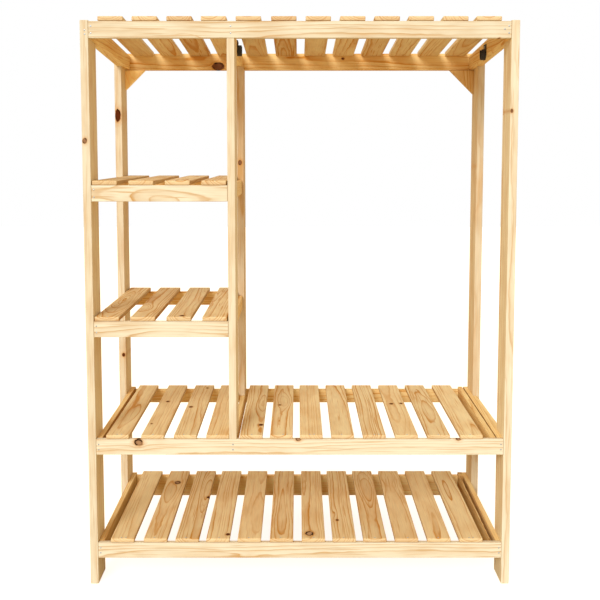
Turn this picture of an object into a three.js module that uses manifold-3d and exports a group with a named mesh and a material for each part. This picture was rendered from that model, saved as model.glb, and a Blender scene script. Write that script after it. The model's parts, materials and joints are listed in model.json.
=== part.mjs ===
// Open frame wardrobe of pine boards: slatted shelves, a hanging bay and a slatted top deck.
// Millimetres, +Z up. The front faces -Y. The origin is on the floor, under the middle.

import * as THREE from 'three';
import { mergeVertices } from 'three/addons/utils/BufferGeometryUtils.js';
import Module from 'manifold-3d';

const wasm = await Module();
wasm.setup();

// Overall sizes.
const width = 1200;
const depth = 550;

// Board stock: posts stand edge-on to the front, rails and battens share one thickness.
const postThickness = 22.5;
const postDepth = 93;
const dividerPostThickness = 21;
const railThickness = 15;
const shelfRailHeight = 45;
const topRailHeight = 46;
const bottomBackRailHeight = 70;
const boardEasing = 1.5;

// Slat stock.
const slatThickness = 12;
const smallSlatThickness = 13;
const deckSlatThickness = 13;
const slatEasing = 2;
const deckSlatWidth = 69;
const shelfSlatWidth = 64.5;
const bottomSlatWidth = 67;
const smallSlatWidth = 69;

// Heights of the rails' top edges above the floor.
const bottomShelfTop = 122;
const lowerShelfTop = 425;
const middleShelfTop = 763;
const upperShelfTop = 1144;
const topRailTop = 1591.5;
const frontPostProud = 2.5;

// The top frame falls this far from its front edge to its back edge.
const topDrop = 40;

// The top frame's back rail stands this far above the undersides of the deck's slats, which end at it.
const deckRailRise = 8;

// The divider stands right of the small shelves.
const dividerFromLeft = 400;
const crossRailRecess = 10;
const lowerBattenRecess = 3;
const secondBattenGap = 3.5;

// The divider's back post stands a little left of the front one, and the slat beside it lies askew:
// how far each slat left of the divider runs to the left at its back end.
const dividerBackShift = 3.5;
const lowerSlatLeans = [0, 0, 0, 4];

// The end battens of the full-width shelves run past the back rail and stand above it there.
const battenBackRise = 7;

// The inner board of the bottom shelf's right batten lacks its outer top arris, where the bark was.
const waneDepth = 35;
const waneRidge = 3;
const waneBackMargin = 35;

// Where the outer slats of each deck start, from the outer faces of the posts.
const deckSlatMargins = { left: 48.5, right: 49.5 };
const lowerSlatMargins = { left: 51.25, right: 81.25 };
const lowerSlatDividerGaps = { left: 0.65, right: 8.75 };
const bottomSlatMargins = { left: 59, right: 76.5 };
const smallSlatMargins = { left: 2.5, right: 4 };

// The spacing that the slats of every deck come as near to as their number allows.
const slatPitch = 92;

// How far each slat was nailed to the right of an even spacing, as shares of the spacing.
const deckSlatShares = [0, -0.01, 0, 0, 0.01, 0.04, 0.04, 0.04, 0.04, 0.03, 0.03, 0];
const lowerLeftSlatShares = [0, 0.05, 0.03, 0];
const lowerRightSlatShares = [0, -0.04, -0.09, -0.09, -0.08, -0.06, -0.04, 0];
const bottomSlatShares = [0, 0.04, 0.04, 0.01, 0, 0.02, 0.03, 0, -0.03, -0.03, -0.01, 0];

// Gussets in the back corners under the top back rail.
const gussetThickness = 22;
const leftGussetLeg = 64;
const rightGussetLeg = 78;

// Rod sockets: a screw plate with a U-shaped cup below it.
const rodDiameter = 25;
const rodClearance = 0.5;
const socketWall = 3;
const socketProjection = 14;
const socketPlateThickness = 2.5;
const cupHeight = 31;
const plateHeight = 47;
const plateCornerRadius = 4;
const leftSocketDrop = 46.5;
const rightSocketDrop = 58.5;
const screwShankRadius = 2;
const screwHeadRadius = 3.6;
const screwHeadHeight = 1.6;
const screwRimShares = { radius: 0.8, height: 0.7 };

// Clearances: round a screw, between a sloped or turned piece and its seat, and where boards are one.
const screwGap = 0.3;
const seatGap = 0.3;
const joinDepth = 0.2;
const cutOverrun = 5;

const screwSides = 12;
const cupSteps = 12;

// Places that follow from the sizes above.
const left = -width / 2;
const right = width / 2;
const front = -depth / 2;
const back = depth / 2;
const leftInner = left + postThickness;
const rightInner = right - postThickness;
const dividerLeft = left + dividerFromLeft;
const dividerRight = dividerLeft + dividerPostThickness;
const dividerBackLeft = dividerLeft - dividerBackShift;
const crossRailRight = dividerRight - crossRailRecess;
const crossRailLeft = crossRailRight - railThickness;
const topSlope = topDrop / depth;
const deckAngle = Math.atan(topSlope);

const frontRailBack = front + railThickness;
const backRailFront = back - railThickness;
const frontPostBack = front + postDepth;
const backPostFront = back - postDepth;

function topPlane(y) {
  return topRailTop - (y - front) * topSlope;
}

function underPlane(y) {
  return topPlane(y) - topRailHeight;
}

// Colours and finishes.
const paleWood = { color: 0xf6dcae, roughness: 0.62, metalness: 0 };
const slatWood = { color: 0xe3bd86, roughness: 0.62, metalness: 0 };
const innerWood = { color: 0xd9ae74, roughness: 0.64, metalness: 0 };
const blackPlastic = { color: 0x17130f, roughness: 0.45, metalness: 0 };
const screwSteel = { color: 0x6f7276, roughness: 0.38, metalness: 0.9 };

const wardrobe = new THREE.Group();

function plain(geometry) {
  const bare = geometry.clone();
  bare.deleteAttribute('normal');
  bare.deleteAttribute('uv');
  return mergeVertices(bare);
}

function toSolid(geometry) {
  const merged = plain(geometry);
  const vertProperties = new Float32Array(merged.attributes.position.array);
  const triVerts = new Uint32Array(merged.index.array);
  return new wasm.Manifold(new wasm.Mesh({ numProp: 3, vertProperties, triVerts }));
}

function fromSolid(solid) {
  const mesh = solid.getMesh();
  const geometry = new THREE.BufferGeometry();
  geometry.setAttribute('position', new THREE.BufferAttribute(mesh.vertProperties, 3));
  geometry.setIndex(new THREE.BufferAttribute(mesh.triVerts, 1));
  return geometry;
}

function cut(geometry, tool) {
  return fromSolid(toSolid(geometry).subtract(toSolid(tool)));
}

function join(pieces) {
  const solids = pieces.map(toSolid);
  return fromSolid(solids.reduce((whole, piece) => whole.add(piece)));
}

function addMesh(name, geometry, finish, parent = wardrobe) {
  const mesh = new THREE.Mesh(geometry, new THREE.MeshStandardMaterial({ ...finish, flatShading: true }));
  mesh.name = name;
  parent.add(mesh);
  return mesh;
}

// A board from its face outline, with the arrises round both faces eased.
function board(points, thickness, easing = boardEasing) {
  const shape = new THREE.Shape(points.map(([u, v]) => new THREE.Vector2(u, v)));
  const geometry = new THREE.ExtrudeGeometry(shape, {
    depth: thickness - 2 * easing,
    bevelEnabled: true,
    bevelSegments: 1,
    bevelThickness: easing,
    bevelSize: easing,
    bevelOffset: -easing,
  });
  return geometry.translate(0, 0, easing);
}

function rectangle(u0, u1, v0, v1) {
  return [[u0, v0], [u1, v0], [u1, v1], [u0, v1]];
}

// A board that faces the front: the outline is in X and Z, the thickness runs forward from backFace.
const facingFront = new THREE.Matrix4().makeBasis(
  new THREE.Vector3(1, 0, 0), new THREE.Vector3(0, 0, 1), new THREE.Vector3(0, -1, 0));

// A board that faces the side: the outline is in Y and Z, the thickness runs right from leftFace.
const facingSide = new THREE.Matrix4().makeBasis(
  new THREE.Vector3(0, 1, 0), new THREE.Vector3(0, 0, 1), new THREE.Vector3(1, 0, 0));

function addFrontBoard(name, geometry, backFace, finish) {
  const mesh = addMesh(name, geometry, finish);
  mesh.setRotationFromMatrix(facingFront);
  mesh.position.y = backFace;
}

function addSideBoard(name, points, leftFace, finish, thickness = railThickness) {
  const mesh = addMesh(name, board(points, thickness), finish);
  mesh.setRotationFromMatrix(facingSide);
  mesh.position.x = leftFace;
}

function railGeometry(x0, x1, top, height) {
  return board(rectangle(x0, x1, top - height, top), railThickness);
}

function addFrontRail(name, x0, x1, top) {
  addFrontBoard(name, railGeometry(x0, x1, top, shelfRailHeight), frontRailBack, paleWood);
}

function addBackRail(name, x0, x1, top) {
  addFrontBoard(name, railGeometry(x0, x1, top, shelfRailHeight), back, innerWood);
}

function addBatten(name, leftFace, top) {
  const outline = rectangle(frontRailBack, backRailFront, top - shelfRailHeight, top);
  addSideBoard(name, outline, leftFace, innerWood);
}

function endBattenOutline(top) {
  const under = top - shelfRailHeight;
  return [[frontRailBack, under], [back, under], [back, top + battenBackRise], [frontRailBack, top]];
}

function addEndBatten(name, leftFace, top) {
  addSideBoard(name, endBattenOutline(top), leftFace, innerWood);
}

function addSideRail(name, leftFace, top) {
  const outline = rectangle(frontPostBack, backPostFront, top - shelfRailHeight, top);
  addSideBoard(name, outline, leftFace, innerWood);
}

// A board of the top frame, between y0 and y1, with its two long edges on the top frame's slope.
function addSlopedBoard(name, leftFace, y0, y1) {
  const outline = [[y0, underPlane(y0)], [y1, underPlane(y1)], [y1, topPlane(y1)], [y0, topPlane(y0)]];
  addSideBoard(name, outline, leftFace, innerWood);
}

// A rail of the top frame, planed to the slope along its top and bottom edges.
function slopedRail(x0, x1, y0, y1, rise = 0) {
  const section = [
    [y0, underPlane(y0)], [y1, underPlane(y1)], [y1, topPlane(y1) + rise], [y0, topPlane(y0) + rise]];
  const corners = section.map(([y, z]) => new THREE.Vector2(y, z));
  const eased = [];
  corners.forEach((corner, i) => {
    for (const side of [corners.length - 1, 1]) {
      const neighbour = corners[(i + side) % corners.length];
      const along = neighbour.clone().sub(corner).setLength(boardEasing);
      eased.push(corner.clone().add(along));
    }
  });
  return new THREE.ExtrudeGeometry(new THREE.Shape(eased), { depth: x1 - x0, bevelEnabled: false });
}

function addSlopedRail(name, geometry, x0, finish) {
  const mesh = addMesh(name, geometry, finish);
  mesh.setRotationFromMatrix(facingSide);
  mesh.position.x = x0;
}

// Posts.
function addPost(name, leftFace, thickness, outline) {
  addSideBoard(name, outline, leftFace, paleWood, thickness);
}

const frontPostOutline = rectangle(front, frontPostBack, 0, topRailTop + frontPostProud);
const backPostOutline = [
  [backPostFront, 0], [back, 0], [back, topPlane(back)], [backPostFront, topPlane(backPostFront)]];
addPost('post_front_left', left, postThickness, frontPostOutline);
addPost('post_front_right', rightInner, postThickness, frontPostOutline);
addPost('post_back_left', left, postThickness, backPostOutline);
addPost('post_back_right', rightInner, postThickness, backPostOutline);

function dividerPostOutline(y0, y1) {
  return [
    [y0, lowerShelfTop], [y1, lowerShelfTop],
    [y1, underPlane(y1) - seatGap], [y0, underPlane(y0) - seatGap]];
}
addPost('divider_post_front', dividerLeft, dividerPostThickness, dividerPostOutline(front, frontPostBack));
addPost('divider_post_back', dividerBackLeft, dividerPostThickness, dividerPostOutline(backPostFront, back));

// Top frame. Its back rail is made further on, with the slats that are nailed to it.
const leftBattenX = leftInner;
const rightBattenX = rightInner - railThickness;
addSlopedRail('top_rail_front', slopedRail(leftInner, rightInner, front, frontRailBack), leftInner, paleWood);
addSlopedBoard('top_batten_left', leftBattenX, frontRailBack, backRailFront);
addSlopedBoard('top_batten_right', rightBattenX, frontRailBack, backRailFront);
addSlopedBoard('top_side_rail_left', leftInner - railThickness, frontPostBack, backPostFront);
addSlopedBoard('top_side_rail_right', rightInner, frontPostBack, backPostFront);
addSlopedBoard('top_cross_rail', crossRailLeft, frontRailBack, backRailFront);

// Gussets: right-angled triangles with the square corner against the post and the rail.
function addGusset(name, cornerX, leg, side) {
  const top = underPlane(back) - seatGap;
  const corner = [cornerX, top];
  const along = [cornerX + side * leg, top];
  const down = [cornerX, top - leg];
  const outline = side > 0 ? [corner, down, along] : [corner, along, down];
  addFrontBoard(name, board(outline, gussetThickness), back, innerWood);
}
addGusset('gusset_left', leftInner, leftGussetLeg, 1);
addGusset('gusset_right', rightInner, rightGussetLeg, -1);

// Small shelves in the left column.
for (const [shelf, top] of [['upper', upperShelfTop], ['middle', middleShelfTop]]) {
  addFrontRail(`${shelf}_rail_front`, leftInner, dividerLeft, top);
  addBackRail(`${shelf}_rail_back`, leftInner, dividerBackLeft, top);
  addBatten(`${shelf}_batten_left`, leftBattenX, top);
  addBatten(`${shelf}_batten_right`, crossRailLeft - railThickness, top);
  addSideRail(`${shelf}_cross_rail`, crossRailLeft, top);
}

// Lower shelf, with the batten that carries the divider and two battens at its right.
const lowerInnerBattenX = rightBattenX - secondBattenGap - railThickness;
addFrontRail('lower_rail_front', leftInner, rightInner, lowerShelfTop);
addBackRail('lower_rail_back', leftInner + railThickness, lowerInnerBattenX, lowerShelfTop);
addEndBatten('lower_batten_left', leftBattenX, lowerShelfTop);
addBatten('lower_batten_divider', dividerRight - lowerBattenRecess - railThickness, lowerShelfTop);
addEndBatten('lower_batten_right', rightBattenX, lowerShelfTop);
addEndBatten('lower_batten_right_inner', lowerInnerBattenX, lowerShelfTop);
addSideRail('lower_side_rail_right', rightInner, lowerShelfTop);

// Bottom shelf. Its taller back rail is made further on, with the slats that are nailed to it.
addFrontRail('bottom_rail_front', leftInner, rightInner, bottomShelfTop);
addEndBatten('bottom_batten_left', leftBattenX, bottomShelfTop);

// The bottom shelf's right batten is two boards nailed face to face, the inner one with a waney arris.
function waneTool() {
  const ridge = waneRidge - railThickness;
  const above = bottomShelfTop + battenBackRise + cutOverrun;
  const section = [[ridge, above], [ridge, bottomShelfTop], [0, bottomShelfTop - waneDepth], [0, above]];
  const wedge = new THREE.ExtrudeGeometry(
    new THREE.Shape(section.map(([w, v]) => new THREE.Vector2(w, v))),
    { depth: depth, bevelEnabled: false });
  wedge.applyMatrix4(new THREE.Matrix4().makeBasis(
    new THREE.Vector3(0, 0, 1), new THREE.Vector3(0, 1, 0), new THREE.Vector3(-1, 0, 0)));
  return wedge.translate(back - waneBackMargin, 0, 0);
}

function doubledBatten() {
  const outline = endBattenOutline(bottomShelfTop);
  const inner = board(outline, railThickness + joinDepth).translate(0, 0, -railThickness);
  return join([board(outline, railThickness), cut(inner, waneTool())]);
}
const doubled = addMesh('bottom_batten_right', doubledBatten(), innerWood);
doubled.setRotationFromMatrix(facingSide);
doubled.position.x = rightBattenX;

// A slat lies along Y between y0 and y1, centred on x at y0, with its underside at zero.
function slat(x, slatWidth, y0, y1, lean = 0, thickness = slatThickness) {
  const x0 = x - slatWidth / 2;
  const x1 = x + slatWidth / 2;
  return board([[x0, y0], [x1, y0], [x1 - lean, y1], [x0 - lean, y1]], thickness, slatEasing);
}

function slatCentres(start, end, slatWidth, shares = []) {
  const first = start + slatWidth / 2;
  const last = end - slatWidth / 2;
  const spaces = Math.max(Math.round((last - first) / slatPitch), 1);
  const spacing = (last - first) / spaces;
  return Array.from({ length: spaces + 1 }, (_, i) => first + spacing * (i + (shares[i] ?? 0)));
}

function wideCentres(margins, slatWidth, shares) {
  return slatCentres(left + margins.left, right - margins.right, slatWidth, shares);
}

// The lower shelf's slats are laid out on either side of the divider's posts.
function lowerCentres() {
  const leftEnd = dividerLeft - lowerSlatDividerGaps.left;
  const rightStart = dividerRight + lowerSlatDividerGaps.right;
  return [
    ...slatCentres(left + lowerSlatMargins.left, leftEnd, shelfSlatWidth, lowerLeftSlatShares),
    ...slatCentres(rightStart, right - lowerSlatMargins.right, shelfSlatWidth, lowerRightSlatShares),
  ];
}

function addSlats(shelf, centres, slatWidth, top, thickness, leans = []) {
  centres.forEach((x, i) => {
    const geometry = slat(x, slatWidth, front, back, leans[i], thickness);
    const mesh = addMesh(`${shelf}_slat_${i + 1}`, geometry, slatWood);
    mesh.position.z = top;
  });
}
addSlats('lower', lowerCentres(), shelfSlatWidth, lowerShelfTop, slatThickness, lowerSlatLeans);

for (const [shelf, top] of [['upper', upperShelfTop], ['middle', middleShelfTop]]) {
  const start = leftInner + smallSlatMargins.left;
  const end = dividerLeft - smallSlatMargins.right;
  addSlats(shelf, slatCentres(start, end, smallSlatWidth), smallSlatWidth, top, smallSlatThickness);
}

// Bottom deck: the slats and the taller back rail under their back ends, nailed up as one.
function bottomDeck() {
  const slats = wideCentres(bottomSlatMargins, bottomSlatWidth, bottomSlatShares).map((x) =>
    slat(x, bottomSlatWidth, front, back).translate(0, 0, bottomShelfTop));
  const railTop = bottomShelfTop + joinDepth;
  const x0 = leftInner + railThickness;
  const x1 = rightInner - 2 * railThickness;
  const rail = railGeometry(x0, x1, railTop, bottomBackRailHeight + joinDepth);
  rail.applyMatrix4(facingFront).translate(0, back, 0);
  return join([rail, ...slats]);
}
addMesh('bottom_deck', bottomDeck(), slatWood);

// Top deck: the slats, lying on the slope, and the top frame's back rail, nailed to their ends.
function topDeck() {
  const length = (backRailFront + joinDepth - front) / Math.cos(deckAngle);
  const seat = topPlane(front) + seatGap;
  const slats = wideCentres(deckSlatMargins, deckSlatWidth, deckSlatShares).map((x) =>
    slat(x, deckSlatWidth, 0, length, 0, deckSlatThickness).rotateX(-deckAngle).translate(0, front, seat));
  const rail = slopedRail(leftInner, rightInner, backRailFront, back, seatGap + deckRailRise);
  rail.applyMatrix4(facingSide).translate(leftInner, 0, 0);
  return join([rail, ...slats]);
}
addMesh('top_deck', topDeck(), slatWood);

// Rod sockets, with the plate against the board and the cup open at the top and towards the bay.
const rodRadius = rodDiameter / 2 + rodClearance;
const cupRadius = rodRadius + socketWall;
const screwHeight = (cupHeight + plateHeight) / 2;

function cupGeometry() {
  const outline = new THREE.Shape();
  outline.moveTo(-cupRadius, cupHeight);
  outline.lineTo(-cupRadius, cupRadius);
  outline.absarc(0, cupRadius, cupRadius, Math.PI, 2 * Math.PI, false);
  outline.lineTo(cupRadius, cupHeight);
  outline.lineTo(rodRadius, cupHeight);
  outline.lineTo(rodRadius, cupRadius);
  outline.absarc(0, cupRadius, rodRadius, 2 * Math.PI, Math.PI, true);
  outline.lineTo(-rodRadius, cupHeight);
  outline.closePath();
  return new THREE.ExtrudeGeometry(outline, {
    depth: socketProjection, bevelEnabled: false, curveSegments: cupSteps });
}

function plateGeometry() {
  const outline = new THREE.Shape();
  const r = plateCornerRadius;
  outline.moveTo(-cupRadius, plateHeight - r);
  outline.lineTo(-cupRadius, cupRadius);
  outline.absarc(0, cupRadius, cupRadius, Math.PI, 2 * Math.PI, false);
  outline.lineTo(cupRadius, plateHeight - r);
  outline.absarc(cupRadius - r, plateHeight - r, r, 0, Math.PI / 2, false);
  outline.absarc(r - cupRadius, plateHeight - r, r, Math.PI / 2, Math.PI, false);
  outline.closePath();
  return new THREE.ExtrudeGeometry(outline, {
    depth: socketPlateThickness, bevelEnabled: false, curveSegments: cupSteps });
}

function socketGeometry() {
  const radius = screwShankRadius + screwGap;
  const hole = new THREE.CylinderGeometry(radius, radius, socketPlateThickness + 2 * cutOverrun, screwSides);
  hole.rotateX(Math.PI / 2).translate(0, screwHeight, socketPlateThickness / 2);
  return cut(join([cupGeometry(), plateGeometry()]), hole);
}

function screwGeometry() {
  const headBase = socketPlateThickness + seatGap;
  const profile = [
    [0, 0], [screwShankRadius, 0], [screwShankRadius, headBase], [screwHeadRadius, headBase],
    [screwHeadRadius * screwRimShares.radius, headBase + screwHeadHeight * screwRimShares.height],
    [0, headBase + screwHeadHeight]];
  const points = profile.map(([r, h]) => new THREE.Vector2(r, h));
  return new THREE.LatheGeometry(points, screwSides).rotateX(Math.PI / 2).translate(0, screwHeight, 0);
}

const socketSides = [
  { name: 'left', face: crossRailRight, drop: leftSocketDrop, turn: facingSide },
  {
    name: 'right',
    face: rightBattenX,
    drop: rightSocketDrop,
    turn: new THREE.Matrix4().makeBasis(
      new THREE.Vector3(0, -1, 0), new THREE.Vector3(0, 0, 1), new THREE.Vector3(-1, 0, 0)),
  },
];
for (const { name, face, drop, turn } of socketSides) {
  const mesh = addMesh(`rod_socket_${name}`, socketGeometry(), blackPlastic);
  mesh.setRotationFromMatrix(turn);
  mesh.position.set(face, 0, topPlane(0) - drop);
  const screw = addMesh(`socket_screw_${name}`, screwGeometry(), screwSteel);
  screw.setRotationFromMatrix(turn);
  screw.position.copy(mesh.position);
}

export default wardrobe;
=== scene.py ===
"""Open frame wardrobe of planed pine boards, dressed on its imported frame."""

import functools
import json
import math
import random

import bmesh
import bpy
from bpy.props import FloatProperty, FloatVectorProperty, PointerProperty
from mathutils import Matrix, Vector


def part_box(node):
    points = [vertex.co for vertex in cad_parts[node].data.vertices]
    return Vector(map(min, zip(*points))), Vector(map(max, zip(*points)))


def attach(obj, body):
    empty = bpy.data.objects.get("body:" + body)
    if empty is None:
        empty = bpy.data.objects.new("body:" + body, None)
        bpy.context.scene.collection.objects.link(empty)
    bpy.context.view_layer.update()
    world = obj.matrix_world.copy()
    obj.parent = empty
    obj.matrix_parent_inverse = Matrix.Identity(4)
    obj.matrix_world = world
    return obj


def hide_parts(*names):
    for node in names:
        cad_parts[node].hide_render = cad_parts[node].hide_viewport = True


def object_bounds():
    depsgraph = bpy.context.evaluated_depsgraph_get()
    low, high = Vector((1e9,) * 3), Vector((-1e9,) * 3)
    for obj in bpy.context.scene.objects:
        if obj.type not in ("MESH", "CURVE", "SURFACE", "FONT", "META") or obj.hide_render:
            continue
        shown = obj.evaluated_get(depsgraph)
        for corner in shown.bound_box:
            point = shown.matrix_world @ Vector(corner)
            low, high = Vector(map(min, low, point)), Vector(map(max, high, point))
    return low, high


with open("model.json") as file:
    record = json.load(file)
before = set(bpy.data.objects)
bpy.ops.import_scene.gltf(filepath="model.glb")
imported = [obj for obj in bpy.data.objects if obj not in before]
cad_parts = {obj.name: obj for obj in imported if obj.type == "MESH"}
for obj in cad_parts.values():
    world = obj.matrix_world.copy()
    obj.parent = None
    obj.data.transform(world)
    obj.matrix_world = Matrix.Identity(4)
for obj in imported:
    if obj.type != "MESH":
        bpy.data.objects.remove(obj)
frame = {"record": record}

bl_info = {
    "name": "Open frame wardrobe",
    "version": (1, 0, 0),
    "blender": (4, 5, 0),
    "location": "3D View > Sidebar > Wardrobe",
    "description": "Builds the boards, nails, rod sockets and stage of an open pine wardrobe",
    "category": "Add Mesh",
}

MM = 0.001
CAD_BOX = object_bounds()
WIDTH_AXIS, DEPTH_AXIS, HEIGHT_AXIS = 0, 1, 2


def hex_colour(code):
    """sRGB hex to linear RGBA."""
    channels = [int(code[i:i + 2], 16) / 255 for i in (1, 3, 5)]
    return [c / 12.92 if c <= 0.04045 else ((c + 0.055) / 1.055) ** 2.4 for c in channels] + [1.0]


def blend(share, first, second):
    """The colour that lies a share of the way from one to the other."""
    return [(1 - share) * a + share * b for a, b in zip(first, second)]


def darker(colour, share):
    return [share * c for c in colour[:3]] + [1.0]


def cad(node):
    """Lowest and highest corner of a node of the frame."""
    low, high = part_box(node)
    return Vector(low), Vector(high)


# Places that several pieces share, from the frame.
FRONT, BACK = CAD_BOX[0][1], CAD_BOX[1][1]
DECK_DROP = 40 * MM
DECK_FALL = DECK_DROP / (BACK - FRONT)
DECK_ANGLE = math.atan(DECK_FALL)
TOP_RAIL_LOW, TOP_RAIL_HIGH = cad("top_rail_front")
TOP_BOARD_HEIGHT = 46 * MM
BOARD_THICKNESS = TOP_RAIL_HIGH.y - TOP_RAIL_LOW.y
DECK_RAIL_RISE = 8.3 * MM      # the back rail covers the lower part of the deck slats' ends


def top_plane(y):
    """Height of the top boards' upper edges at a depth."""
    return TOP_RAIL_HIGH.z - (y - FRONT) * DECK_FALL


# User settings

def length_setting(name, description, default, least, most):
    return FloatProperty(name=name, description=description, default=default, min=least, max=most,
                         subtype="DISTANCE", unit="LENGTH", precision=5)


def colour_setting(name, description, code):
    return FloatVectorProperty(name=name, description=description, default=hex_colour(code),
                               subtype="COLOR", size=4, min=0, max=1)


class WardrobeSizes(bpy.types.PropertyGroup):
    """Sizes that the frame leaves to the visual model"""
    board_arris: length_setting("Board arris", "Radius of the eased edges of posts, rails and battens",
                                1.5 * MM, 0.2 * MM, 4 * MM)
    slat_arris: length_setting("Slat arris", "Radius of the rounded edges of the slats",
                               2.4 * MM, 0.2 * MM, 5 * MM)
    nail_head: length_setting("Nail head", "Diameter of the round nail heads", 4.8 * MM, 2 * MM, 9 * MM)
    nail_rise: length_setting("Nail rise", "Height of the nail heads above the wood",
                              0.45 * MM, 0.1 * MM, 1.5 * MM)
    ring_width: length_setting("Ring width", "Mean distance between growth rings",
                               7.8 * MM, 1 * MM, 15 * MM)


class WardrobeColours(bpy.types.PropertyGroup):
    """Colours of the finishes"""
    early_wood: colour_setting("Early wood", "Pale wood between the rings", "#F5E3C0")
    late_wood: colour_setting("Late wood", "Dark line of each growth ring", "#CE9243")
    knot_core: colour_setting("Knot", "Middle of a knot", "#86401A")
    knot_rim: colour_setting("Knot rim", "Bark ring round a knot", "#2C1308")
    socket_black: colour_setting("Socket plastic", "Moulded plastic of the rod sockets", "#1E1A16")
    steel: colour_setting("Steel", "Zinc-plated nails and screws", "#C9CED2")
    floor: colour_setting("Floor", "Cream paper of the studio floor", "#DCCBAA")


def sizes():
    return bpy.context.scene.wardrobe_sizes


def colours():
    return bpy.context.scene.wardrobe_colours


# Materials

def add(tree, kind, inputs=(), **settings):
    """Adds a node with its settings and links. An input is a value, or the node or socket that feeds it."""
    node = tree.nodes.new("ShaderNode" + kind)
    for key, value in settings.items():
        setattr(node, key, value)
    for key, value in inputs.items() if isinstance(inputs, dict) else enumerate(inputs):
        if isinstance(value, bpy.types.Node):
            value = next(socket for socket in value.outputs if socket.enabled)
        if isinstance(value, bpy.types.NodeSocket):
            tree.links.new(value, node.inputs[key])
        else:
            node.inputs[key].default_value = value
    return node


def new_material(name):
    """A material with an empty tree of nodes, and that tree."""
    material = bpy.data.materials.new(name)
    material.use_nodes = True
    material.node_tree.nodes.clear()
    return material, material.node_tree


def add_surface(tree, inputs):
    """Ends a material's tree with its shader."""
    shader = add(tree, "BsdfPrincipled", inputs)
    add(tree, "OutputMaterial", {"Surface": shader})
    return shader


def set_ramp(ramp, stops):
    """Gives a colour ramp grey stops, each a position and a value."""
    while len(ramp.elements) > 1:
        ramp.elements.remove(ramp.elements[0])
    ramp.elements[0].position = stops[0][0]
    for _ in stops[1:]:
        ramp.elements.new(1.0)
    for element, (position, value) in zip(ramp.elements, stops):
        element.position = position
        element.color = (value, value, value, 1.0)


KNOTS = (1, 2, 3)
FAR_OFF = 40.0                 # knot radii away: no knot
KNOT_STRETCH = 1.3             # a branch is sawn at a slant, so its section is longer along the grain
KNOT_PUSH = 1.4                # how far the lines bend round a knot, in its radii
KNOT_RAGGED = (0.5, 0.75)      # noise times the first plus the second: a quarter smaller or larger
SLOW_WAVE = 13 * MM
QUICK_WAVE = 2.6 * MM
SWELL_TAPER = 0.4              # how much narrower a swelling's ovals get towards its far end
# Good and poor years make rings wide and narrow over some 25 mm, by up to two rings.
YEARS_PER_METRE = 40.0
YEARS_SWING = 2.0
RING_STRENGTH = (0.7, 0.3)     # a lot times the first plus the second
END_LINES = 1.5                # the lines are this much stronger on cut ends
END_PALENESS = 0.3
HEART_SHARE = 0.55             # of the late wood's colour in heartwood
BAST_SHARE = 0.3               # of the late wood's colour in bark
PALE_KNOT_SHARE = 0.7          # of plain wood in the palest knot
DARK_KNOT_BARK = 0.6           # of bark colour in the darkest knot
# Multipliers of the wood's colour, both painted light. The posts' wide faces get painted warm bounced
# light.
# Painted warm shade where a board's arris meets another board, in narrow gaps, low down and on slat sides.
PAINTED_BOUNCE_TINT = (1.06, 1.0, 0.86)
PAINTED_SHADE_TINT = (0.52, 0.38, 0.24)
SATIN = (0.0, 1.0, 0.64, 0.54)     # roughness of the early wood and of the harder late wood
FIBRE_ROUGHNESS = 0.14
LINE_HEIGHT = 0.5              # of a late-wood line in the relief, beside the fibres' 1
RELIEF_STRENGTH = 0.35
RELIEF_DEPTH = 0.25 * MM
WOOD_IOR = 1.45
GLOSS = 0.12                   # open pores scatter most of it
KNOT_GLOSS = 0.03
# Features per metre along and across the grain, and detail.
PINE_NOISES = {
    "ragged": (110, 160, 1.0),   # outlines of knots
    "broken": (60, 90, 0.0),     # gaps in their bark
    "slow": (3.3, 8, 0.0),       # bends of the rings 300 mm long
    "quick": (20, 70, 1.0),      # and 50 mm long
    "fading": (5, 14, 1.0),      # lines that come and go over 200 mm
    "stain": (8, 26, 2.0),       # heartwood in soft patches 120 mm long
    "canal": (7, 260, 0.0),      # resin canals and tool marks, single thin lines 150 mm long
    "fibre": (14, 500, 3.0),     # fibres: 2 mm wide, the finest that shows, where real ones are 0.03 mm
}
# The lowest and highest noise that counts, and what they give.
BARK_LEFT = (0.4, 0.55, 0.45, 1.0)
LINES_LEFT = (0.36, 0.6, 0.4, 1.0)
HEART_PATCHES = (0.42, 0.7, 0.0, 0.5)
CANAL_LINES = (0.66, 0.76, 0.0, 0.5)
FIBRE_SHADES = (0.3, 0.7, 0.92, 1.06)
# One growth ring from early wood to the late-wood line, and a knot from its middle to past its rim.
RING_STOPS = ((0.0, 0.3), (0.06, 0.0), (0.45, 0.05), (0.75, 0.28), (0.9, 0.82), (0.95, 1.0), (1.0, 0.3))
KNOT_SCALE = 0.4               # what a knot's radius comes to in the stops below
KNOT_RINGS = ((0.0, 0.5), (0.05, 0.0), (0.14, 0.1), (0.18, 0.5), (0.23, 0.2), (0.28, 0.7), (0.33, 1.0),
              (0.43, 1.0), (0.47, 0.0))
KNOT_COVER = ((0.0, 1.0), (0.41, 1.0), (0.46, 0.65), (0.62, 0.25), (0.95, 0.0))
KNOT_EDGE = (0.4, 0.47, 0.0, 1.0)


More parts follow.
